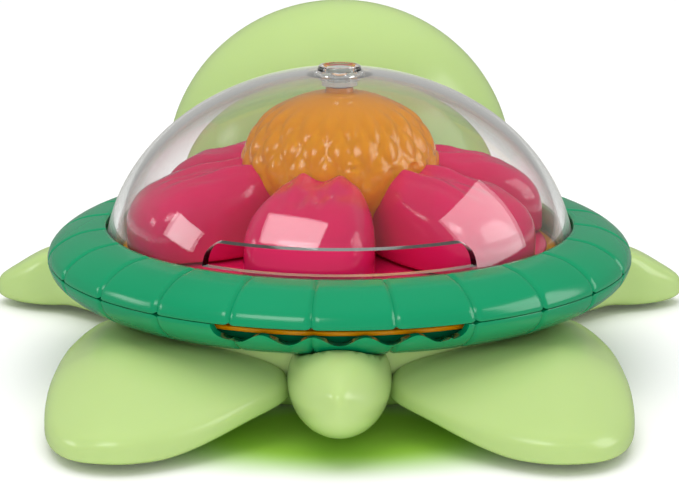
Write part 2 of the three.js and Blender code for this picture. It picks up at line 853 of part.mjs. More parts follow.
for (const [name, side] of [
  ["left", -1],
  ["right", 1],
]) {
  const headY =
    HEAD.y +
    HEAD.deep *
      Math.sqrt(1 - (EYE.x / HEAD.half) ** 2 - ((EYE.z - PARTING_Z) / HEAD.up) ** 2);
  const eye = solid(egg(side * EYE.x, headY, EYE.z, EYE.half, EYE.deep, EYE.high, EYE.high, 14));
  const grown = solid(
    egg(0, HEAD.y, PARTING_Z, HEAD.half + GAP, HEAD.deep + GAP, HEAD.up + GAP, HEAD.down),
  );
  piece(`eye_${name}`, eye.subtract(grown), BLACK);
}
piece("head_front", headFront, LIME);

piece("belly_pan", pan, LIME);
piece("shell_ring_upper", ringUpper, EMERALD);
piece("shell_ring_lower", ringLower, EMERALD);

export default sprinkler;
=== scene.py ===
# %% [markdown]
# # A turtle garden sprinkler
#
# The real thing is a moulded toy that stands on a lawn and sprays water. A lime turtle body
# carries an emerald shell ring in two halves, and a clear dome keeps a crimson and amber
# flower in place while the water turns it. This lesson dresses the CAD model of it: the
# moulded skins are modelled here with rounder edges than CAD gives them, and the small
# hidden parts keep their CAD shape and get a finish.

# %% Load the frame
import json
import math

import bmesh
import bpy
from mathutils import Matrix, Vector


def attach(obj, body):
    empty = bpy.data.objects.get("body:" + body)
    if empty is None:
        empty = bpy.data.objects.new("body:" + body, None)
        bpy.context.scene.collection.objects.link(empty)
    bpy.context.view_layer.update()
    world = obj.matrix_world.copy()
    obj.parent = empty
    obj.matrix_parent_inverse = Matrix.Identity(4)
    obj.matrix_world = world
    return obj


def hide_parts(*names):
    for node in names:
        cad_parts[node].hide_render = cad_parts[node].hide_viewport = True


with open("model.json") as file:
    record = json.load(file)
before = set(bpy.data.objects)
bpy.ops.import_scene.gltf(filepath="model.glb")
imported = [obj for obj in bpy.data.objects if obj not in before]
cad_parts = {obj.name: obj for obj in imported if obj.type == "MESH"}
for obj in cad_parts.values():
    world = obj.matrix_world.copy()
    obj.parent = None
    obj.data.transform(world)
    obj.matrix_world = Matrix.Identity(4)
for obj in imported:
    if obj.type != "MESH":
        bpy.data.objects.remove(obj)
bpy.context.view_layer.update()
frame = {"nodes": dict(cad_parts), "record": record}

# %% [markdown]
# ## Camera and room
#
# The camera comes first, because it decides which details can be seen. It stands behind the
# tail, a little above the shell, with a long lens, as for a catalogue picture. The room is a
# pale sheet on the ground under large soft boxes. A bright plain sky fills in the shadows.
# What the glossy plastic mirrors is kept apart from what lights it, as a studio does with black
# flags: mirrored rays see a darker sky and sheet, so that colours stay deep, and three small boxes
# are only mirrored. Round the tail the sheet is painted lime: a painted glow that stands in for
# light that has come through the lime plastic.

# %% Camera
MM = 0.001  # every size below is in millimetres, and Blender works in metres

AIM = Vector((0, 0, 38 * MM))
DISTANCE = 0.8  # metres
TILT = math.radians(14.3)
camera_data = bpy.data.cameras.new("catalogue_camera")
camera_data.lens = 122.95
camera_data.sensor_width = 36
camera = bpy.data.objects.new("catalogue_camera", camera_data)
bpy.context.collection.objects.link(camera)
camera.location = AIM + Vector((0, -math.cos(TILT), math.sin(TILT))) * DISTANCE
camera.rotation_euler = (math.pi / 2 - TILT, 0, 0)
bpy.context.scene.camera = camera
bpy.context.scene.view_settings.view_transform = "Standard"
print("camera at", [round(v, 3) for v in camera.location])

# %% Colours and nodes
def from_hex(text, alpha=1.0):
    """An sRGB hex colour as the linear numbers that a shader takes."""
    shares = [int(text[i : i + 2], 16) / 255 for i in (1, 3, 5)]
    linear = [s / 12.92 if s <= 0.04045 else ((s + 0.055) / 1.055) ** 2.4 for s in shares]
    return (*linear, alpha)


def add_node(tree, kind, inputs, **settings):
    """Adds a node, sets it up, and links or fills its inputs."""
    made = tree.nodes.new(kind)
    for name, value in settings.items():
        setattr(made, name, value)
    for name, value in inputs.items():
        if isinstance(value, bpy.types.NodeSocket):
            tree.links.new(value, made.inputs[name])
        else:
            made.inputs[name].default_value = value
    return made


def new_material(name):
    """An empty material, with its output node."""
    material = bpy.data.materials.new(name)
    material.use_nodes = True
    material.node_tree.nodes.clear()
    return material, material.node_tree, material.node_tree.nodes.new("ShaderNodeOutputMaterial")


# %% Floor and sky
def deselect():
    bpy.ops.object.select_all(action="DESELECT")


def mirror_ray(tree):
    """1 for a ray that left a surface as a reflection, and 0 for one that passed through it."""
    ray = add_node(tree, "ShaderNodeLightPath", {})
    share = add_node(
        tree,
        "ShaderNodeMath",
        {0: ray.outputs["Is Glossy Ray"], 1: ray.outputs["Is Transmission Ray"]},
        operation="SUBTRACT",
    )
    return share.outputs["Value"]


deselect()
bpy.ops.mesh.primitive_plane_add(size=8, location=(0, 1.5, 0))
floor = bpy.context.object
bpy.ops.object.transform_apply(location=True, rotation=True, scale=True)
floor.name = "floor"
paper, tree, output = new_material("white_studio_paper")
mirrored_share = mirror_ray(tree)
shade = add_node(
    tree,
    "ShaderNodeMix",
    {"Factor": mirrored_share, "A": from_hex("#fbfbfa"), "B": from_hex("#8c8c8a")},
    data_type="RGBA",
)
# Painted glow: round the tail the sheet is painted lime, standing in for light that has come
# through the lime plastic.
place = add_node(tree, "ShaderNodeTexCoord", {}).outputs["Object"]
centred = add_node(
    tree, "ShaderNodeMapping", {"Vector": place, "Location": (0, 0.085, 0), "Scale": (0.55, 1, 1)}
)
away = add_node(
    tree, "ShaderNodeVectorMath", {"Vector": centred.outputs["Vector"]}, operation="LENGTH"
)
painted_glow = add_node(
    tree,
    "ShaderNodeMapRange",
    {
        "Value": away.outputs["Value"],
        "From Min": 18 * MM,
        "From Max": 46 * MM,
        "To Min": 1,
        "To Max": 0,
    },
    interpolation_type="SMOOTHSTEP",
)
lit = add_node(
    tree,
    "ShaderNodeMix",
    {"Factor": painted_glow.outputs["Result"], "A": shade.outputs["Result"], "B": from_hex("#a9dc4c")},
    data_type="RGBA",
)
sheet = add_node(
    tree, "ShaderNodeBsdfPrincipled", {"Base Color": lit.outputs["Result"], "Roughness": 0.6}
)
tree.links.new(sheet.outputs["BSDF"], output.inputs["Surface"])
floor.data.materials.append(paper)

SKY = 0.76  # what lights the object
SKY_MIRRORED = 0.27  # what glossy plastic mirrors, as of a room darker than its soft boxes
sky = bpy.data.worlds.new("plain_sky")
bpy.context.scene.world = sky
sky.use_nodes = True
tree = sky.node_tree
ray = add_node(tree, "ShaderNodeLightPath", {})
level = add_node(
    tree,
    "ShaderNodeMapRange",
    {"Value": ray.outputs["Is Glossy Ray"], "To Min": SKY, "To Max": SKY_MIRRORED},
)
tree.nodes["Background"].inputs["Color"].default_value = (1, 1, 1, 1)
tree.links.new(level.outputs["Result"], tree.nodes["Background"].inputs["Strength"])

# %% Soft boxes
def soft_box(name, place, size, watts):
    """A rectangular lamp that faces the middle of the object."""
    data = bpy.data.lights.new(name, "AREA")
    data.shape = "RECTANGLE"
    data.size, data.size_y = size
    data.energy = watts
    lamp = bpy.data.objects.new(name, data)
    bpy.context.collection.objects.link(lamp)
    lamp.location = place
    lamp.rotation_euler = (AIM - Vector(place)).to_track_quat("-Z", "Y").to_euler()
    return lamp


overhead = soft_box("overhead_box", (-0.1, 0.25, 1.6), (1.8, 1.4), 17.5)
low_fill = soft_box("low_fill", (0.1, -1.7, 0.35), (1.4, 0.5), 8.0)
for lamp in (overhead, low_fill):
    lamp.visible_glossy = False  # either face of the dome would mirror it over the flower
    lamp.visible_transmission = False
for name, place, size, watts in (
    ("left_box", (-1.2, -0.05, 0.5), (0.45, 0.26), 1.5),
    ("right_box", (1.19, -0.12, 0.6), (0.85, 0.8), 6.2),
    ("front_box", (-0.55, -1.05, 1.1), (0.75, 0.5), 5.2),
):
    soft_box(name, place, size, watts).visible_diffuse = False  # only mirrored

# %% [markdown]
# ## Moulded plastics
#
# Almost every piece is injection moulded. Lime, emerald, amber and crimson are coloured
# polypropylene or ABS from a polished mould, so they are smooth and glossy. A moulded face is
# never quite flat: the melt sinks a little as it cools, which bends reflections over a few
# centimetres, and the mould's polish leaves a faint orange peel of about a millimetre. Light
# also enters the plastic and comes out a few millimetres away, most in the thin lime and
# amber. One recipe makes all four, with its own numbers for each.

# %% Moulded plastic
def moulded(name, hex_colour, hex_deep, roughness, inside, depth_mm, coat=0.0, sink=0.05):
    """A moulded plastic. inside is how much light goes in, and depth_mm how far it spreads."""
    material, tree, output = new_material(name)
    place = add_node(tree, "ShaderNodeTexCoord", {}).outputs["Object"]
    flow = add_node(
        tree, "ShaderNodeTexNoise", {"Vector": place, "Scale": 1 / (45 * MM), "Detail": 2.0}
    )
    colour = add_node(
        tree,
        "ShaderNodeMix",
        {"Factor": flow.outputs["Fac"], "A": from_hex(hex_colour), "B": from_hex(hex_deep)},
        data_type="RGBA",
    )
    peel = add_node(
        tree, "ShaderNodeTexNoise", {"Vector": place, "Scale": 1 / (1.4 * MM), "Detail": 1.0}
    )
    gloss = add_node(
        tree,
        "ShaderNodeMapRange",
        {"Value": flow.outputs["Fac"], "To Min": roughness * 0.85, "To Max": roughness * 1.2},
    )
    sunk = add_node(
        tree,
        "ShaderNodeBump",
        {"Height": flow.outputs["Fac"], "Strength": sink, "Distance": 1.2 * MM},
    )
    peeled = add_node(
        tree,
        "ShaderNodeBump",
        {
            "Height": peel.outputs["Fac"],
            "Strength": 0.05,
            "Distance": 0.1 * MM,
            "Normal": sunk.outputs["Normal"],
        },
    )
    shader = add_node(
        tree,
        "ShaderNodeBsdfPrincipled",
        {
            "Base Color": colour.outputs["Result"],
            "Roughness": gloss.outputs["Result"],
            "IOR": 1.5,
            "Subsurface Weight": inside,
            "Subsurface Radius": (1.0, 0.8, 0.4),
            "Subsurface Scale": depth_mm * MM,
            "Coat Weight": coat,
            "Coat Roughness": 0.04,
            "Normal": peeled.outputs["Normal"],
        },
    )
    tree.links.new(shader.outputs["BSDF"], output.inputs["Surface"])
    return material


lime = moulded("lime_moulded_polypropylene", "#b8d188", "#aec87c", 0.22, 0.3, 6.0)
emerald = moulded("emerald_moulded_abs", "#009463", "#008a5a", 0.17, 0.05, 1.5, sink=0.12)
# Painted light: the amber and crimson base colours are lighter than the plastic itself, to make up
# for the light that the clear dome takes from the flower.
amber = moulded("amber_translucent_polypropylene", "#f09c00", "#e69000", 0.16, 0.35, 3.0)
crimson = moulded("crimson_moulded_abs", "#e22062", "#d61a56", 0.13, 0.15, 2.0, coat=0.2)
grey = moulded("grey_moulded_abs", "#b4b9b6", "#a9aeab", 0.25, 0.2, 1.5)
acetal = moulded("white_acetal", "#f0f0ea", "#e6e6e0", 0.35, 0.2, 2.0)

# %% [markdown]
# ## Clear plastic, metal and rubber
#
# The dome is clear styrene with a polished skin: it shows what is behind it, mirrors the room
# most along its edge, and bends light in its 3 mm wall. Styrene is also faintly hazy, which
# only shows where the wall is seen at a slant and the sight line stays in it for longer. Rays
# from lamps pass straight through it, because following each one through two bent walls would
# only add noise. The screws are zinc-plated steel, whose plating looks finely mottled. The
# hose washer is matt rubber, the O-ring is pale silicone, and the eyes are lacquered black.

# %% Clear, steel, rubber and black
clear, tree, output = new_material("clear_polished_styrene")
place = add_node(tree, "ShaderNodeTexCoord", {}).outputs["Object"]
draw = add_node(
    tree, "ShaderNodeTexNoise", {"Vector": place, "Scale": 1 / (38 * MM), "Detail": 1.0}
)
ripple = add_node(
    tree,
    "ShaderNodeBump",
    {"Height": draw.outputs["Fac"], "Strength": 0.12, "Distance": 1.0 * MM},
)
window = add_node(
    tree,
    "ShaderNodeBsdfPrincipled",
    {
        "Base Color": from_hex("#fbfdfc"),
        "Roughness": 0.015,
        "IOR": 1.49,
        "Transmission Weight": 1.0,
        "Normal": ripple.outputs["Normal"],
    },
)
haze = add_node(
    tree, "ShaderNodeBsdfPrincipled", {"Base Color": from_hex("#f2f2ec"), "Roughness": 0.25}
)
slant = add_node(tree, "ShaderNodeLayerWeight", {"Blend": 0.35})
hazy = add_node(
    tree,
    "ShaderNodeMapRange",
    {"Value": slant.outputs["Facing"], "From Min": 0.4, "From Max": 0.95, "To Max": 0.6},
    interpolation_type="SMOOTHSTEP",
)
wall = add_node(tree, "ShaderNodeMixShader", {"Fac": hazy.outputs["Result"]})
tree.links.new(window.outputs["BSDF"], wall.inputs[1])
tree.links.new(haze.outputs["BSDF"], wall.inputs[2])
passed = add_node(tree, "ShaderNodeBsdfTransparent", {"Color": from_hex("#fafcfb")})
ray = add_node(tree, "ShaderNodeLightPath", {})
surface = add_node(tree, "ShaderNodeMixShader", {"Fac": ray.outputs["Is Shadow Ray"]})
tree.links.new(wall.outputs["Shader"], surface.inputs[1])
tree.links.new(passed.outputs["BSDF"], surface.inputs[2])
tree.links.new(surface.outputs["Shader"], output.inputs["Surface"])


def plain(name, hex_colour, roughness, grain_mm, metallic=0.0, coat=0.0):
    """A finish with a fine mottle of one size in its gloss and its surface."""
    material, tree, output = new_material(name)
    place = add_node(tree, "ShaderNodeTexCoord", {}).outputs["Object"]
    mottle = add_node(
        tree, "ShaderNodeTexNoise", {"Vector": place, "Scale": 1 / (grain_mm * MM), "Detail": 3.0}
    )
    gloss = add_node(
        tree,
        "ShaderNodeMapRange",
        {"Value": mottle.outputs["Fac"], "To Min": roughness * 0.75, "To Max": roughness * 1.3},
    )
    rough = add_node(
        tree,
        "ShaderNodeBump",
        {"Height": mottle.outputs["Fac"], "Strength": 0.1, "Distance": 0.1 * MM},
    )
    shader = add_node(
        tree,
        "ShaderNodeBsdfPrincipled",
        {
            "Base Color": from_hex(hex_colour),
            "Roughness": gloss.outputs["Result"],
            "Metallic": metallic,
            "Coat Weight": coat,
            "Coat Roughness": 0.03,
            "Normal": rough.outputs["Normal"],
        },
    )
    tree.links.new(shader.outputs["BSDF"], output.inputs["Surface"])
    return material


silicone = moulded("pale_silicone", "#d4d7d2", "#c8cbc6", 0.25, 0.3, 2.0)
steel = plain("zinc_plated_steel", "#c3c6c9", 0.3, 0.8, metallic=1.0)
rubber = plain("black_moulded_rubber", "#1d1d1d", 0.6, 0.7)
lacquer = plain("black_lacquer", "#0c0c0d", 0.12, 3.0, coat=0.8)
print("materials:", len(bpy.data.materials))

FINISH = {
    "lime": lime,
    "emerald": emerald,
    "crimson": crimson,
    "amber": amber,
    "clear": clear,
    "grey": grey,
    "bearing": acetal,
    "rubber": rubber,
    "steel": steel,
    "eye": lacquer,
}

# %% [markdown]
# ## Working by hand
#
# Most of these pieces are turned: one section goes round an axis. By hand that is a single
# point, extruded along the section and then spun. `turn` does just that. `select_where`
# picks vertices, edges or faces by their place, as a box select would. `finish_piece` cleans
# the mesh, sets its shading, gives it its material, and tells the frame which body it rides
# on and which CAD node it stands for.

# %% Selecting and finishing
def edit(piece):
    bpy.context.view_layer.objects.active = piece
    piece.select_set(True)
    bpy.ops.object.mode_set(mode="EDIT")


def leave():
    bpy.ops.object.mode_set(mode="OBJECT")


def select_where(test, kind="VERT"):
    """In edit mode, selects what has its middle where the test says."""
    bpy.ops.mesh.select_mode(type=kind)
    bpy.ops.mesh.select_all(action="DESELECT")
    mesh = bmesh.from_edit_mesh(bpy.context.object.data)
    if kind == "VERT":
        for v in mesh.verts:
            v.select = test(v.co)
    elif kind == "EDGE":
        for e in mesh.edges:
            e.select = test((e.verts[0].co + e.verts[1].co) / 2)
    else:
        for f in mesh.faces:
            f.select = test(f.calc_center_median())
    mesh.select_flush_mode()
    bmesh.update_edit_mesh(bpy.context.object.data)


def apply_all(piece):
    """Applies the piece's modifiers, in order."""
    bpy.context.view_layer.objects.active = piece
    for modifier in list(piece.modifiers):
        bpy.ops.object.modifier_apply(modifier=modifier.name)


def cut(piece, cutter, operation="DIFFERENCE", keep=False):
    """Cuts the piece with the cutter, or joins them."""
    boolean = piece.modifiers.new("cut", "BOOLEAN")
    boolean.operation = operation
    boolean.solver = "EXACT"
    boolean.object = cutter
    apply_all(piece)
    if not keep:
        bpy.data.objects.remove(cutter)


def finish_piece(piece, node, body, slot, crease=40):
    deselect()
    edit(piece)
    bpy.ops.mesh.select_all(action="SELECT")
    bpy.ops.mesh.remove_doubles(threshold=0.001 * MM)
    bpy.ops.mesh.normals_make_consistent(inside=False)
    leave()
    piece.name = f"{node}_skin"
    bpy.ops.object.transform_apply(location=True, rotation=True, scale=True)
    bpy.ops.object.shade_smooth_by_angle(angle=math.radians(crease))
    piece.data.materials.clear()
    piece.data.materials.append(FINISH[slot])
    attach(piece, body)
    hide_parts(node)
    print(piece.name, len(piece.data.polygons), "faces")
    return piece


# %% Sections
def rounded(points, steps=4):
    """A section whose corners (radius, height, rounding) are made into small arcs."""
    made = []
    count = len(points)
    for i, (r, z, rounding) in enumerate(points):
        corner = Vector((r, z))
        if rounding == 0:
            made.append(corner)
            continue
        before = Vector(points[i - 1][:2]) - corner
        after = Vector(points[(i + 1) % count][:2]) - corner
        reach = min(rounding, before.length * 0.49, after.length * 0.49)
        start = corner + before.normalized() * reach
        end = corner + after.normalized() * reach
        for step in range(steps + 1):
            t = step / steps
            made.append(start * (1 - t) ** 2 + corner * 2 * t * (1 - t) + end * t**2)
    return [(p.x, p.y) for p in made]


def curve_through(points, count, closed=False):
    """Evenly spaced points on a smooth curve (Catmull-Rom) through a few given ones."""
    places = [Vector(p) for p in points]
    last = len(places) if closed else len(places) - 1
    dense = []
    for i in range(last):
        a, b, c, d = (
            places[(i + k) % len(places)] if closed else places[min(max(i + k, 0), len(places) - 1)]
            for k in (-1, 0, 1, 2)
        )
        for step in range(40):
            t = step / 40
            dense.append(
                0.5
                * (
                    2 * b
                    + (c - a) * t
                    + (2 * a - 5 * b + 4 * c - d) * t**2
                    + (3 * b - 3 * c + d - a) * t**3
                )
            )
    dense.append(places[0] if closed else places[-1])
    lengths = [0.0]
    for p, q in zip(dense, dense[1:]):
        lengths.append(lengths[-1] + (q - p).length)
    made = []
    at = 0
    for i in range(count):
        want = lengths[-1] * i / (count if closed else count - 1)
        while lengths[at + 1] < want and at < len(lengths) - 2:
            at += 1
        share = (want - lengths[at]) / max(lengths[at + 1] - lengths[at], 1e-9)
        made.append(tuple(dense[at].lerp(dense[at + 1], share)))
    return made


# %% Turning
def bearing_of(co):
    """Degrees round from the tail towards +X, from -180 to 180."""
    return math.degrees(math.atan2(co.x, -co.y))


def polar(radius, bearing, height):
    """A place in metres from millimetres and a bearing."""
    a = math.radians(bearing)
    return Vector((radius * math.sin(a), -radius * math.cos(a), height)) * MM


def outline_of(path, closed=True):
    """A new piece, left in edit mode, whose vertices and edges follow a path."""
    deselect()
    bpy.ops.mesh.primitive_plane_add(size=MM, location=path[0])
    bpy.ops.object.transform_apply(location=True, rotation=True, scale=True)
    bpy.ops.object.mode_set(mode="EDIT")
    bpy.ops.mesh.select_mode(type="VERT")
    bpy.ops.mesh.merge(type="CENTER")
    for p, q in zip(path, path[1:]):
        bpy.ops.mesh.extrude_vertices_move(TRANSFORM_OT_translate={"value": q - p})
    if closed:
        bpy.ops.mesh.select_all(action="DESELECT")
        mesh = bmesh.from_edit_mesh(bpy.context.object.data)
        mesh.verts.ensure_lookup_table()
        mesh.verts[0].select = mesh.verts[-1].select = True
        bpy.ops.mesh.edge_face_add()
    return bpy.context.object


def turn(section, steps=128, angle=360, start=0, closed=True, along_x=None):
    """Turns a section of (radius, height) points in millimetres, clockwise seen from above.
    The axis is Z, or, where along_x gives its (y, z), a line along -X."""
    if along_x:
        y, z = along_x
        centre, axis = Vector((0, y, z)) * MM, (-1, 0, 0)
        path = [Vector((-h, y, z + r)) * MM for r, h in section]
    else:
        centre, axis = Vector((0, 0, 0)), (0, 0, 1)
        path = [polar(r, start, h) for r, h in section]
    piece = outline_of(path, closed)
    bpy.ops.mesh.select_all(action="SELECT")
    bpy.ops.mesh.spin(steps=steps, angle=math.radians(angle), center=centre, axis=axis)
    bpy.ops.mesh.select_all(action="SELECT")
    bpy.ops.mesh.remove_doubles(threshold=0.002 * MM)
    if angle < 360:
        bpy.ops.mesh.select_all(action="DESELECT")
        bpy.ops.mesh.select_mode(type="EDGE")
        bpy.ops.mesh.select_non_manifold()
        bpy.ops.mesh.edge_face_add()
        bpy.ops.mesh.select_mode(type="VERT")
    bpy.ops.mesh.select_all(action="SELECT")
    bpy.ops.mesh.normals_make_consistent(inside=False)
    leave()
    return piece


# %% [markdown]
# ## The shell ring
#
# The ring is two mouldings that meet at a parting line, like two bowls rim to rim. Each has 24
# panels with a groove between them. The section is turned in half-degree steps, so that a
# groove has columns of its own: the middle column is pushed in by a millimetre and its
# neighbours a little, which leaves a crisp line with soft shoulders that catch the light.

# %% Ring sections
GAP = 0.3
PARTING = 38.0
LOWER_SHARE = 1.1
OUTSIDE = [(100, 0), (98.8, 3.5), (94.6, 7.1), (88.4, 9.8), (80.4, 10.9)]
outer_curve = curve_through(OUTSIDE, 18)
outer_curve[0] = (99.75, 0.0)
outer_curve.insert(1, (99.98, 0.5))
LIP = [(80.05, 10.6), (79.9, 10.1), (80.0, 9.4), (80.4, 7.9)]
UPPER_INSIDE = [
    (82.2, 7.9), (82.2, 0.4), (84.2, 0.4), (84.2, 7.9),
    (87.6, 7.4), (93, 5.1), (96.3, 2.5), (97.4, 0),
]
LOWER_INSIDE = [
    (72, 10.9), (72, 8.4), (84, 8.4), (84, 3.8), (86, 3.8), (86, 7.7),
    (87.6, 7.4), (93, 5.1), (96.3, 2.5), (97.4, 0),
]
GROOVE_TURN = -5
PANEL = 15
RING_STEPS = 720
GROOVE_DEPTHS = ((0, 0.8), (1, 0.18))  # of the middle column, and of its neighbours


def on_outside(co, side):
    """True on the ring's outer face, and not on its edge at the parting line."""
    radius = math.hypot(co.x, co.y) / MM
    depth = side * (co.z / MM - PARTING) - GAP / 2
    if side < 0:
        depth /= LOWER_SHARE
    return any(abs(radius - r) < 0.05 and abs(depth - d) < 0.05 for r, d in outer_curve)


def groove_offset(co):
    """Half-degree columns from the nearest groove."""
    turned = (bearing_of(co) - GROOVE_TURN + PANEL / 2) % PANEL - PANEL / 2
    return abs(round(turned * RING_STEPS / 360))


def ring_half(side):
    share = 1 if side > 0 else LOWER_SHARE
    inside = LIP + UPPER_INSIDE if side > 0 else LOWER_INSIDE
    section = [(r, PARTING + side * (GAP / 2 + d * share)) for r, d in outer_curve + inside]
    piece = turn(section, steps=RING_STEPS, start=GROOVE_TURN)
    edit(piece)
    for column, depth in GROOVE_DEPTHS:
        select_where(lambda co: groove_offset(co) == column and on_outside(co, side))
        bpy.ops.transform.shrink_fatten(value=-depth * MM)
    leave()
    return piece


ring_upper = ring_half(1)
print("upper half:", len(ring_upper.data.vertices), "vertices")

# %% [markdown]
# The lower half also has the water outlet: a slot along the parting line behind the tail,
# with a waved lower lip. Its wall is lowered rather than cut, so that the lip stays clean:
# each vertex above the lip slides down the wall's own curve until it reaches the lip, and the
# vertices that meet there are merged.

# %% Lower half with its slot
SLOT_HALF = 23.4
SLOT_END = 20.5


def slot_depth(bearing):
    b = abs(bearing)
    if b > SLOT_HALF:
        return 0.0
    if b < SLOT_END:
        return 3.75 + 1.65 * math.cos(2 * math.pi * b / 9.3)
    t = (b - SLOT_END) / (SLOT_HALF - SLOT_END)
    return 0.3 + 4.5 * math.sqrt(max(0.0, 1 - t * t))


def radius_at(line, depth):
    """The radius of a section's line at a depth."""
    for (r0, d0), (r1, d1) in zip(line, line[1:]):
        if min(d0, d1) <= depth <= max(d0, d1) and d0 != d1:
            return r0 + (r1 - r0) * (depth - d0) / (d1 - d0)
    return line[0][0]


ring_lower = ring_half(-1)
inner_line = [(97.4, 0), (96.3, 2.5), (93, 5.1), (87.6, 7.4)]
for vertex in ring_lower.data.vertices:
    radius = math.hypot(vertex.co.x, vertex.co.y) / MM
    bearing = bearing_of(vertex.co)
    depth = (PARTING - vertex.co.z / MM - GAP / 2) / LOWER_SHARE
    lip = slot_depth(bearing) / LOWER_SHARE
    if radius < 90 or depth >= lip:
        continue
    outer = radius > radius_at(inner_line, depth) + 1.2
    line = outer_curve if outer else inner_line
    vertex.co = polar(radius_at(line, lip), bearing, PARTING - GAP / 2 - lip * LOWER_SHARE)
print("slot lowered by up to", max(slot_depth(b / 2) for b in range(-46, 47)), "mm")
finish_piece(ring_upper, "shell_ring_upper", "body", "emerald", crease=50)

RING_BEARINGS = (45, 135, 225, 315)
RING_SCREW_R = 90  # circle that the ring's screws stand on
RING_SEAT = 30.9  # top of the counterbore that hides their heads
SCREW_HOLE_R = 3.3


def post(radius, low, high, place, vertices=32):
    """An upright cylinder at a place in plan, in millimetres."""
    deselect()
    bpy.ops.mesh.primitive_cylinder_add(
        vertices=vertices,
        radius=radius * MM,
        depth=(high - low) * MM,
        location=(place.x, place.y, (low + high) / 2 * MM),
    )
    return bpy.context.object


for bearing in RING_BEARINGS:
    cut(ring_lower, post(SCREW_HOLE_R, 20, RING_SEAT, polar(RING_SCREW_R, bearing, 0)))
finish_piece(ring_lower, "shell_ring_lower", "body", "emerald", crease=50)

# %% [markdown]
# ## The dome
#
# The dome is a clear half egg with a real wall, because the bright rim that a clear moulding
# shows along its edge is light caught inside that wall. It stands on a flange under the
# ring's lip. A boss at the top holds the spray nozzle. The drain notch at the back is cut
# with a block: its outline is drawn inside the wall, made a face, extruded, and scaled out
# from the axis, so that its sides point at the middle.

# %% Dome
DOME_A = 80.9
DOME_C = 67
DOME_Z = 34.3
DOME_WALL = 3


def dome_arc(wall, first, last, count):
    """Points on the dome's section, by the angle from its pole."""
    made = []
    for i in range(count):
        t = math.radians(first + (last - first) * i / (count - 1))
        made.append(((DOME_A - wall) * math.sin(t), DOME_Z + (DOME_C - wall) * math.cos(t)))
    return made


boss_top = rounded([(5.7, 102.6, 0.5), (7.2, 102.6, 0.8), (7.3, 101.0, 0)])[:-1]
dome_section = (
    boss_top
    + dome_arc(0, 5.4, 86.5, 40)
    + [(84.6, 38.1), (85.6, 38.1), (86.0, 37.7), (86.0, 35.9), (77.9, 35.9)]
    + dome_arc(DOME_WALL, 86.2, 6.6, 36)
    + [(7.4, 97.4), (7.2, 96.9), (6.8, 96.4), (2.7, 96.4), (2.7, 99.9), (5.7, 99.9)]
)
dome = turn(dome_section, steps=160)

NOTCH_HALF = 33.5
NOTCH_LOW, NOTCH_TOP = 49.4, 57
CORNER = 5.5  # radius of the notch's upper corners
DEGREE = 1.41  # millimetres along the wall in a degree
notch_outline = [(b, NOTCH_LOW) for b in range(-33, 34, 3)] + [(NOTCH_HALF, NOTCH_LOW)]
for step in range(9):
    a = math.radians(step * 90 / 8)
    notch_outline.append(
        (
            NOTCH_HALF - (CORNER - CORNER * math.cos(a)) / DEGREE,
            NOTCH_TOP - CORNER + CORNER * math.sin(a),
        )
    )
notch_outline += [(b, NOTCH_TOP) for b in range(27, 0, -3)]
notch_outline += [(0, NOTCH_TOP)] + [(-b, z) for b, z in notch_outline[:22:-1] if b > 0]
block = outline_of([polar(66, b, z) for b, z in notch_outline])
bpy.ops.mesh.select_all(action="SELECT")
bpy.ops.mesh.edge_face_add()
bpy.ops.mesh.extrude_region_move()
bpy.ops.transform.resize(value=(110 / 66, 110 / 66, 1), center_override=(0, 0, 0))
bpy.ops.mesh.select_all(action="SELECT")
bpy.ops.mesh.normals_make_consistent(inside=False)
leave()
cut(dome, block)
finish_piece(dome, "dome", "body", "clear", crease=32)

# %% [markdown]
# ## The flower's centre
#
# The amber centre is a blown-looking knob in the middle of a crimson plate. Its side is
# quilted with shallow diamonds in rows, like a pineapple. They are sculpted rather than
# textured, because each one mirrors the soft boxes by itself. Every vertex of the turned
# knob moves along the radius by a rule: two families of slanting furrows cross, and fade out
# towards the crown and the waist. The plate carries the petals.

# %% Flower centre
CORE_STEPS = 192
CORE_OUTSIDE = [
    (4.8, 92.9), (9, 92.6), (14, 91.3), (19, 89.3), (24, 86.3), (28.2, 82), (31.3, 77),
    (33.0, 72), (33.4, 67.5), (32.8, 64), (31, 60.4), (28.2, 57), (26, 53),
]
knob = curve_through(CORE_OUTSIDE, 72)
core_section = (
    [(3.0, 94.2), (4.6, 94.2)]
    + knob
    + [(26, 40.8), (23.6, 40.8)]
    + [(23.6, 52), (26.6, 58), (30.4, 65), (30.6, 72), (28.0, 78.5), (22.0, 84.8), (13.2, 88.6)]
    + [(8.2, 89.2), (8.2, 37.6), (6.2, 37.6), (6.2, 85.5), (3.0, 86.3)]
)
core = turn(core_section, steps=CORE_STEPS)


QUILT_PAIRS = 11  # slanting furrows each way round
QUILT_HIGH = 15  # height over which a furrow repeats
QUILT_DEEP = 1.35


def quilt(bearing, height):
    """How far the knob's face stands out here, in millimetres, before it fades."""
    across = math.radians(QUILT_PAIRS * bearing)
    up = math.pi * (height - 71) / QUILT_HIGH
    furrows = abs(math.sin(across + up)) * abs(math.sin(across - up))
    return QUILT_DEEP * (math.sqrt(furrows) - 0.6)


def smooth_step(value, low, high):
    t = min(max((value - low) / (high - low), 0), 1)
    return t * t * (3 - 2 * t)


knob_line = {(round(r, 2), round(z, 2)) for r, z in knob}
for vertex in core.data.vertices:
    radius, height = math.hypot(vertex.co.x, vertex.co.y) / MM, vertex.co.z / MM
    if (round(radius, 2), round(height, 2)) not in knob_line:
        continue
    bearing = bearing_of(vertex.co)
    fade = smooth_step(height, 54, 60) * (1 - smooth_step(height, 84, 91.5))
    swell = 0.25 * math.sin(math.radians(bearing * 5 + 40)) * smooth_step(92.5 - height, 0, 6)
    out = fade * quilt(bearing, height) + swell
    vertex.co = polar(radius + out, bearing, height + 0.35 * out)
finish_piece(core, "flower_core", "flower", "amber", crease=60)

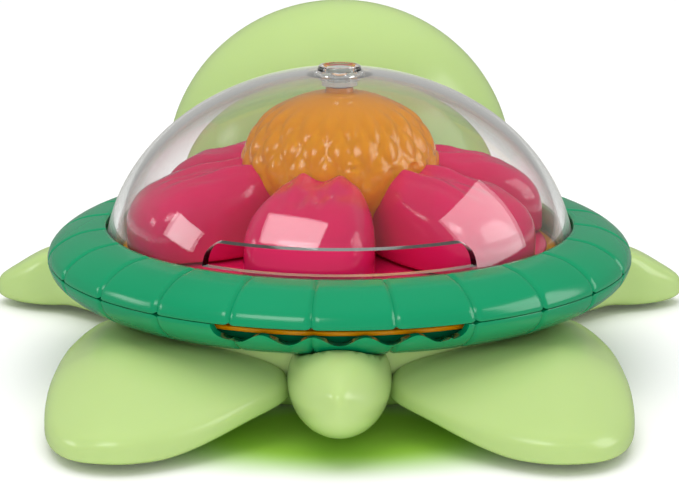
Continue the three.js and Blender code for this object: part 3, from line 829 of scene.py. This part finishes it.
# %% Petal plate
plate = turn(
    rounded([(26.3, 40.8, 0.2), (71, 40.8, 0.6), (71, 42.6, 0.6), (26.3, 42.6, 0.2)]), steps=120
)
finish_piece(plate, "petal_plate", "flower", "crimson")

# %% [markdown]
# ## Lobes
#
# Petals, flippers, tail and head are soft closed lobes. Each starts as a sphere, and every
# vertex then moves by one rule: its longitude picks a place on the lobe's outline in plan, and
# its latitude says how far in from that outline it is, and how far up. The crown and the keel
# each follow a superellipse, whose power makes them round (2) or pillow-like (4). That is
# sculpting by numbers, and it keeps both the outline and the crown true to size.

# %% Lobe
def levels(power, count):
    """Evenly spaced (inset share, height share) points from a superellipse's belt to its pole."""
    dense = []
    for i in range(401):
        a = i / 400 * math.pi / 2
        dense.append((math.cos(a) ** (2 / power), math.sin(a) ** (2 / power)))
    return curve_through(dense[::8], count + 1)


def lobe(outline, low, high, belt=0.35, crown=3.7, keel=3.0, columns=64, rows=32, middle=None):
    """A closed lobe over an outline in plan. low and high give its heights at a place."""
    deselect()
    bpy.ops.mesh.primitive_uv_sphere_add(segments=columns, ring_count=rows, radius=1)
    piece = bpy.context.object
    ring = [Vector(p) for p in curve_through(outline, columns, closed=True)]
    centre = Vector(middle) if middle else sum(ring, Vector((0, 0))) / columns
    above, below = levels(crown, rows // 2), levels(keel, rows // 2)
    for vertex in piece.data.vertices:
        latitude = round(math.degrees(math.asin(max(-1, min(1, vertex.co.z)))) * rows / 180)
        longitude = math.atan2(vertex.co.y, vertex.co.x)
        column = round(longitude / (2 * math.pi) * columns) % columns
        inset, lift = (above if latitude >= 0 else below)[abs(latitude)]
        if abs(latitude) == rows // 2:
            inset = 0
        place = centre.lerp(ring[column], inset)
        bottom, top = low(place.x, place.y), high(place.x, place.y)
        waist = bottom + belt * (top - bottom)
        z = waist + lift * ((top if latitude >= 0 else bottom) - waist)
        vertex.co = Vector((place.x, place.y, z)) * MM
    edit(piece)
    bpy.ops.mesh.select_all(action="SELECT")
    bpy.ops.mesh.normals_make_consistent(inside=False)
    leave()
    return piece


def rule_move(piece, rule):
    """Moves every vertex of a piece to where the rule says, in millimetres."""
    for vertex in piece.data.vertices:
        vertex.co = Vector(rule(*(vertex.co / MM))) * MM


def turned_copy(piece, degrees):
    """A copy with its own mesh, turned about Z in the mesh itself."""
    deselect()
    piece.select_set(True)
    bpy.context.view_layer.objects.active = piece
    bpy.ops.object.duplicate()
    copy = bpy.context.object
    copy.rotation_euler = (0, 0, math.radians(degrees))
    bpy.ops.object.transform_apply(location=True, rotation=True, scale=True)
    return copy


# %% [markdown]
# ## Petals
#
# A petal lies along the radius: narrow at the centre, widest two thirds out, with a valley
# along its crown that divides it into two humps. Finer pleats run beside the valley. One is
# modelled, cut to the shape of the knob where it meets it, and copied six times.

# %% Petals
PETAL_SIDE = [
    (22, 10.5), (34, 16.5), (45, 19.7), (55, 20.7), (64, 19.8), (69.8, 15.9), (72.5, 8.2)
]
PETAL_TURN = -10
PETAL_TIP = 73.3
petal_outline = (
    [(16, 0)]
    + [(u, -w) for u, w in PETAL_SIDE]
    + [(PETAL_TIP, 0)]
    + [(u, w) for u, w in PETAL_SIDE[::-1]]
)


def petal_high(u, w):
    return 72.6 - 0.22 * (u - 34)


petal = lobe(
    petal_outline, lambda u, w: 42.9, petal_high, belt=0.2, crown=3.0, keel=12, columns=96, rows=48
)


def pleat(u, w, z):
    """A short valley at the root, and pleats along the crown that fade out towards the tip."""
    near_crown = smooth_step(z - petal_high(u, w), -12, -3)
    valley = 3.0 * math.exp(-((w / 2.6) ** 2)) * smooth_step(66 - u, 6, 30)
    fold = 0.6 * math.cos(w * 0.95) * math.exp(-((w / 12) ** 2)) * smooth_step(70 - u, 2, 20)
    slope = 0.35 * math.sin(u * 0.32 + w * 0.2) * smooth_step(70 - u, 4, 16)
    return (u, w, z - near_crown * (valley - fold - slope))


rule_move(petal, pleat)
for i in range(6):
    placed = turned_copy(petal, PETAL_TURN + i * 60 - 90)
    knob_block = turn(
        [(0, 40), (26.4, 40), (26.4, 53.4)]
        + [(r + 0.4, z) for r, z in CORE_OUTSIDE[-2:4:-1]]
        + [(0, 86)],
        steps=72,
        closed=False,
    )
    cut(placed, knob_block)
    finish_piece(placed, f"petal_{i + 1}", "flower", "crimson", crease=50)
bpy.data.objects.remove(petal)

# %% [markdown]
# ## Flippers, tail and head
#
# The limbs are lime lobes that disappear under the shell. Where they meet it they are cut by
# a turned block a little larger than the shell, so that they fit it with an even gap. The
# left flippers are modelled, and the right ones are their mirror images.

# %% Clearance block
CLEAR_SECTION = [
    (0, -9), (50.7, -9), (50.7, -0.7), (66.7, 2.1), (76, 8.8), (80.1, 16.6), (81, 25.2),
    (88.7, 26.4), (95.4, 29.4), (99.8, 33.7), (100.8, 38), (99.8, 42.1), (95.2, 46.1),
    (88.7, 48.6), (82, 49.7), (0, 49.7),
]


def clearance():
    return turn(CLEAR_SECTION, steps=180, closed=False)


def mirrored(piece):
    """A mirror image across the middle of the body, with its own mesh."""
    copy = turned_copy(piece, 0)
    edit(copy)
    bpy.ops.mesh.select_all(action="SELECT")
    bpy.ops.transform.resize(value=(-1, 1, 1), center_override=(0, 0, 0))
    bpy.ops.mesh.flip_normals()
    leave()
    return copy


# %% Flippers
REAR = [
    (-83, -14), (-90.5, -36), (-92.5, -64), (-91.5, -92), (-87.5, -109), (-79.5, -120),
    (-67, -124), (-55, -121), (-43, -113.5), (-30, -102), (-17.4, -88), (-17.2, -76),
    (-34, -60), (-58, -30), (-70, -14),
]
FRONT = [
    (-60, 47), (-66, 30), (-80, 30), (-92, 41), (-104, 52), (-118, 58), (-128, 67),
    (-127, 76), (-115, 82), (-99, 78), (-84, 69), (-68, 58),
]


def rear_high(x, y):
    return 25.2 - 8 * smooth_step(-y, 70, 122) - 4 * smooth_step(-x, 66, 92)


rear = lobe(
    REAR, lambda x, y: 0.4 + 8 * smooth_step(x, -56, -14), rear_high,
    belt=0.3, crown=3.0, keel=3.0, columns=96, rows=40,
)
front = lobe(
    FRONT,
    lambda x, y: 2.5 - 1.9 * smooth_step(-x, 96, 122),
    lambda x, y: 22.7 - 7 * smooth_step(-x, 106, 128),
    belt=0.33, crown=3.0, keel=3.0, columns=80, rows=32,
)
for name, left in (("rear", rear), ("front", front)):
    cut(left, clearance())
    right = mirrored(left)
    finish_piece(left, f"{name}_flipper_left", "body", "lime", crease=60)
    finish_piece(right, f"{name}_flipper_right", "body", "lime", crease=60)

# %% Tail
deselect()
bpy.ops.mesh.primitive_uv_sphere_add(segments=64, ring_count=32, radius=1)
tail = bpy.context.object
TAIL_Y, TAIL_Z = -80, 17.5
TAIL_HALF, TAIL_LONG, TAIL_HIGH = 16.4, 41, 15.2
rule_move(
    tail,
    lambda x, y, z: (x * TAIL_HALF * MM, TAIL_Y + y * MM * TAIL_LONG, TAIL_Z + z * MM * TAIL_HIGH),
)


POINT_Z, POINT_LONG = 25, 5.5


def pointed(x, y, z):
    """Draws the tail's end out to a small blunt point, with a hollow shoulder round it."""
    near = (x / 5) ** 2 + ((z - POINT_Z) / 4.6) ** 2
    drawn = POINT_LONG * math.exp(-near) - math.exp(-near / 5)
    return (x, y - smooth_step(-y, 90, 108) * drawn, z)


rule_move(tail, pointed)
cut(tail, clearance())
finish_piece(tail, "tail", "body", "lime", crease=60)

# %% [markdown]
# The head is a hollow ball in two mouldings that meet at an upright seam behind the cheeks.
# Its face can't be told from behind, so it gets a plain friendly turtle's face: two domed
# eyes, two nostrils and a shallow smile. The ball is split with bisect, given its wall with
# Solidify, and the seam's edges are eased with a bevel.

# %% Head
HEAD_Y, HEAD_HALF, HEAD_DEEP, HEAD_UP, HEAD_DOWN = 136, 69, 52, 67, 36
SEAM_Y = HEAD_Y + 4
HEAD_WALL = 2.5


def head_place(x, y, z):
    """A unit ball's point, as the head's, in millimetres."""
    x, y, z = x * MM, y * MM, z * MM
    up = HEAD_UP if z > 0 else HEAD_DOWN
    return (HEAD_HALF * x, HEAD_Y + HEAD_DEEP * y, PARTING + up * z)


def head_half(front_side):
    deselect()
    bpy.ops.mesh.primitive_uv_sphere_add(segments=96, ring_count=64, radius=1)
    piece = bpy.context.object
    rule_move(piece, head_place)
    edit(piece)
    bpy.ops.mesh.select_all(action="SELECT")
    seam = (SEAM_Y + (GAP / 2 if front_side else -GAP / 2)) * MM
    bpy.ops.mesh.bisect(
        plane_co=(0, seam, 0),
        plane_no=(0, 1, 0),
        clear_inner=front_side,
        clear_outer=not front_side,
    )
    bpy.ops.mesh.select_all(action="SELECT")
    bpy.ops.mesh.normals_make_consistent(inside=False)
    leave()
    wall = piece.modifiers.new("wall", "SOLIDIFY")
    wall.thickness = HEAD_WALL * MM
    wall.offset = -1
    eased = piece.modifiers.new("eased_seam", "BEVEL")
    eased.width = 0.5 * MM
    eased.segments = 2
    eased.limit_method = "ANGLE"
    eased.angle_limit = math.radians(50)
    apply_all(piece)
    return piece


NECK_Y, NECK_Z = 93, 15.5
NECK_LONG, NECK_HALF, NECK_RISE = 30, 27, 9.5
head_back = head_half(False)
deselect()
bpy.ops.mesh.primitive_cylinder_add(
    vertices=64, radius=1, depth=NECK_LONG * MM, location=(0, NECK_Y * MM, NECK_Z * MM),
    rotation=(math.pi / 2, 0, 0),
)
neck = bpy.context.object
neck.scale = (NECK_HALF * MM, NECK_RISE * MM, 1)
bpy.ops.object.transform_apply(location=True, rotation=True, scale=True)
cut(head_back, neck, "UNION")
cut(head_back, clearance())
finish_piece(head_back, "head_back", "body", "lime", crease=45)

head_front = head_half(True)
SMILE_Z, SMILE_R = 54, 26  # the circle that the smile is an arc of
SMILE_ENDS = 39  # height of its ends


def head_front_y(x, z):
    """How far forward the head's face is at a place, in millimetres."""
    rise = (z - PARTING) / (HEAD_UP if z > PARTING else HEAD_DOWN)
    return HEAD_Y + HEAD_DEEP * math.sqrt(1 - (x / HEAD_HALF) ** 2 - rise**2)


deselect()
bpy.ops.mesh.primitive_torus_add(
    major_radius=SMILE_R * MM, minor_radius=1.3 * MM, major_segments=96, minor_segments=16,
    location=(0, 0, SMILE_Z * MM), rotation=(math.pi / 2, 0, 0),
)
smile = bpy.context.object
bpy.ops.object.transform_apply(location=True, rotation=True, scale=True)
edit(smile)
bpy.ops.mesh.select_all(action="SELECT")
bpy.ops.mesh.bisect(
    plane_co=(0, 0, SMILE_ENDS * MM), plane_no=(0, 0, 1), clear_outer=True, use_fill=True
)
leave()
rule_move(smile, lambda x, y, z: (x, y + head_front_y(x, z), z))
cut(head_front, smile)
for side in (-1, 1):
    deselect()
    bpy.ops.mesh.primitive_uv_sphere_add(
        segments=24, ring_count=16, radius=2.2 * MM, location=(side * 6 * MM, 187 * MM, 50 * MM)
    )
    cut(head_front, bpy.context.object)
finish_piece(head_front, "head_front", "body", "lime", crease=45)

# %% Eyes
EYE_X, EYE_Z = 27, 62
EYE_HALF, EYE_DEEP, EYE_HIGH = 9, 4.2, 13
SWELL, SWELL_DEEP = 1.004, 1.006  # the ball that an eye is cut by is this much larger
eye_y = HEAD_Y + HEAD_DEEP * math.sqrt(
    1 - (EYE_X / HEAD_HALF) ** 2 - ((EYE_Z - PARTING) / HEAD_UP) ** 2
)
for name, side in (("left", -1), ("right", 1)):
    deselect()
    bpy.ops.mesh.primitive_uv_sphere_add(segments=48, ring_count=32, radius=1)
    eye = bpy.context.object
    rule_move(
        eye,
        lambda x, y, z: (
            side * EYE_X + EYE_HALF * x * MM,
            eye_y + EYE_DEEP * y * MM,
            EYE_Z + EYE_HIGH * z * MM,
        ),
    )
    deselect()
    bpy.ops.mesh.primitive_uv_sphere_add(segments=96, ring_count=64, radius=1)
    ball = bpy.context.object
    rule_move(ball, head_place)
    rule_move(
        ball,
        lambda x, y, z: (
            x * SWELL, HEAD_Y + (y - HEAD_Y) * SWELL_DEEP, PARTING + (z - PARTING) * SWELL
        ),
    )
    cut(eye, ball)
    finish_piece(eye, f"eye_{name}", "body", "eye", crease=60)

# %% [markdown]
# ## Belly pan and flower tray
#
# The belly pan closes the body from below, and the tray is the amber floor that shows round
# the flower's foot and through the outlet slot. Both are plain turned mouldings with eased
# edges. The pan has four deep holes for its screws and a collar for the water chamber.

# %% Pan and tray
pan_outside = curve_through([(50, 0), (58, 0.6), (66, 3), (75, 9.5), (79, 17), (80, 25.5)], 16)
pan_inside = [(77.5, 25.5), (76.5, 17.6), (72.9, 10.9), (64.8, 5.3), (50, 2.5)]
pan = turn(
    [(0, 0)] + pan_outside + pan_inside
    + rounded([(17.4, 2.5, 0), (17.4, 7, 0.5), (15.4, 7, 0.5), (15.4, 2.5, 0)])
    + [(0, 2.5)],
    steps=120,
    closed=False,
)

BASE_BEARINGS = (70, 115, 245, 290)
BASE_SCREW_R = 74
for bearing in BASE_BEARINGS:
    cut(pan, post(SCREW_HOLE_R, -1, 17.3, polar(BASE_SCREW_R, bearing, 0)))
finish_piece(pan, "belly_pan", "body", "lime", crease=40)

tray = turn(
    rounded(
        [
            (9.1, 40.2, 0.4), (75.2, 40.2, 0.8), (75.2, 35.6, 0), (92.5, 35.6, 0.4),
            (92.5, 34.2, 0.4), (73.2, 34.2, 0), (73.2, 38.2, 0), (9.1, 38.2, 0.4),
        ]
    ),
    steps=120,
)
for bearing in RING_BEARINGS:
    cut(tray, post(3.8, 30, 40, polar(RING_SCREW_R, bearing, 0)))
finish_piece(tray, "flower_tray", "body", "amber", crease=40)

# %% [markdown]
# ## Spray nozzle
#
# The nozzle is a small grey disc with a stem. It sits in the boss at the top of the dome, and
# its face has a ring of fine outlets round a middle one, each a short blind bore here.

# %% Spray nozzle
nozzle = turn(
    rounded(
        [
            (0.7, 93.5, 0), (1.3, 93.5, 0.15), (1.3, 95.8, 0), (2.1, 95.8, 0.2), (2.1, 100.2, 0),
            (5.2, 100.2, 0.2), (5.2, 101.6, 0.35), (3.6, 101.6, 0.2), (3.3, 101.2, 0.1),
            (1.6, 101.2, 0.1), (1.3, 101.6, 0.15), (0.7, 101.6, 0.1),
        ]
    ),
    steps=64,
)
for outlet in range(8):
    cut(nozzle, post(0.35, 100.9, 102, polar(4.3, outlet * 45 + 22.5, 0), vertices=16))
finish_piece(nozzle, "spray_nozzle", "body", "grey", crease=35)

# %% [markdown]
# ## Hose coupling
#
# A garden hose screws into a swivel nut, which a flanged tail holds on the inlet pipe. The
# nut has grip ribs: every third column of its turned outside stands proud. Inside are the
# thread's ridges. The pipe is a curve with a round bevel, made a mesh.

# %% Swivel nut
INLET_Y, INLET_Z = 88, 17
NUT_STEPS = 120
RIB_GROWTH = 15.45 / 15  # radius over a rib, against the radius between ribs
thread = []
for i in range(6):
    foot = 80.6 - i * 2.2
    thread += [(13.2, foot), (12.4, foot - 0.9), (12.4, foot - 1.2), (13.2, foot - 2.0)]
nut = turn(
    rounded([(8.4, 59, 0.3), (15, 59, 1.2), (15, 82, 1.0), (13.2, 82, 0.4)])
    + thread
    + [(13.2, 63.3), (8.4, 63.3)],
    steps=NUT_STEPS,
    along_x=(INLET_Y, INLET_Z),
)


def nut_rib(co):
    """True on the ribs' columns, between the nut's two rounded rims."""
    y, z = co.y / MM - INLET_Y, co.z / MM - INLET_Z
    column = round(math.degrees(math.atan2(y, z)) * NUT_STEPS / 360) % 5
    return math.hypot(y, z) > 14.9 and column in (0, 1, 2) and -81.2 < co.x / MM < -60


edit(nut)
for cut_x in (-61.8, -80.2):
    bpy.ops.mesh.select_all(action="SELECT")
    bpy.ops.mesh.bisect(plane_co=(cut_x * MM, 0, 0), plane_no=(1, 0, 0))
select_where(nut_rib)
bpy.ops.transform.resize(
    value=(1, RIB_GROWTH, RIB_GROWTH), center_override=(0, INLET_Y * MM, INLET_Z * MM)
)
leave()
finish_piece(nut, "swivel_nut", "hose_nut", "emerald", crease=35)

# %% Tail piece and pipe
tail_piece = turn(
    rounded(
        [
            (5.8, 56, 0.2), (8, 56, 0.5), (8, 63, 0.3), (11.8, 63, 0.4), (11.8, 65.2, 0.4),
            (4.3, 65.2, 0.3), (4.3, 64.4, 0), (5.8, 64.4, 0),
        ]
    ),
    steps=64,
    along_x=(INLET_Y, INLET_Z),
)
finish_piece(tail_piece, "hose_tail", "body", "grey", crease=35)

ROUTE = [(-7.2, 12.4), (-14, 24), (-24, 42), (-33, 60), (-38, 72), (-45, 83), (-56, 88), (-64, 88)]
PIPE_R, PIPE_WALL = 5.5, 1.4
line = bpy.data.curves.new("inlet_route", "CURVE")
line.dimensions = "3D"
line.bevel_depth = PIPE_R * MM
line.bevel_resolution = 8
spline = line.splines.new("POLY")
route = curve_through(ROUTE, 40)
spline.points.add(len(route) - 1)
for point, (x, y) in zip(spline.points, route):
    point.co = (x * MM, y * MM, INLET_Z * MM, 1)
pipe = bpy.data.objects.new("inlet_route", line)
bpy.context.collection.objects.link(pipe)
deselect()
pipe.select_set(True)
bpy.context.view_layer.objects.active = pipe
bpy.ops.object.convert(target="MESH")
pipe_wall = pipe.modifiers.new("wall", "SOLIDIFY")
pipe_wall.thickness = PIPE_WALL * MM
pipe_wall.offset = -1
apply_all(pipe)
finish_piece(pipe, "inlet_pipe", "body", "grey", crease=50)

# %% [markdown]
# ## Screws
#
# Eight pan-head screws hold the shell and the pan. One is turned, its cross recess is cut with
# two thin blocks, and it is copied to each place. The shank is longer on the ones in the pan.

# %% Screws
SCREW_HEAD = [(0, 2), (1.4, 1.95), (2.2, 1.65), (2.7, 1.0), (2.8, 0.3), (2.7, 0), (1.2, 0)]


def make_screw(place, bearing_z, length):
    ridges = []
    z = bearing_z + 1.5
    while z < bearing_z + length - 2:
        ridges += [(1.0, z), (1.2, z + 0.3), (1.0, z + 0.6)]
        z += 1.0
    screw = turn(
        [(r, bearing_z - deep) for r, deep in SCREW_HEAD]
        + ridges
        + [(1.0, bearing_z + length - 1.2), (0, bearing_z + length)],
        steps=32,
        closed=False,
    )
    for wide, deep in ((2.6, 0.5), (0.5, 2.6)):
        deselect()
        bpy.ops.mesh.primitive_cube_add(size=1, location=(0, 0, (bearing_z - 1.6) * MM))
        blade = bpy.context.object
        blade.scale = (wide * MM, deep * MM, 1.4 * MM)
        bpy.ops.object.transform_apply(location=True, rotation=True, scale=True)
        cut(screw, blade)
    rule_move(screw, lambda x, y, z: (x + place.x / MM, y + place.y / MM, z))
    return screw


for kind, radius, bearings, bearing_z, length in (
    ("ring_screw", RING_SCREW_R, RING_BEARINGS, RING_SEAT - GAP, 10),
    ("base_screw", BASE_SCREW_R, BASE_BEARINGS, 17, 14),
):
    for i, bearing in enumerate(bearings):
        screw = make_screw(polar(radius, bearing, 0), bearing_z, length)
        finish_piece(screw, f"{kind}_{i + 1}", "body", "steel", crease=35)

# %% [markdown]
# ## What keeps its CAD shape
#
# The impeller, bushes, washers, standpipe and filter are inside the body, and CAD already has
# their true shape. They get the finish of their material slot. The nozzle's O-ring shows
# through the clear boss as a pale silicone ring.

# %% Finishes for CAD nodes
slots = {row["node"]: row["material_slot"] for row in frame["record"]["subparts"]}
for name, node in frame["nodes"].items():
    node.data.materials.clear()
    node.data.materials.append(silicone if name == "nozzle_o_ring" else FINISH[slots[name]])
    if not node.hide_render:
        print("CAD shape kept:", name, slots[name])
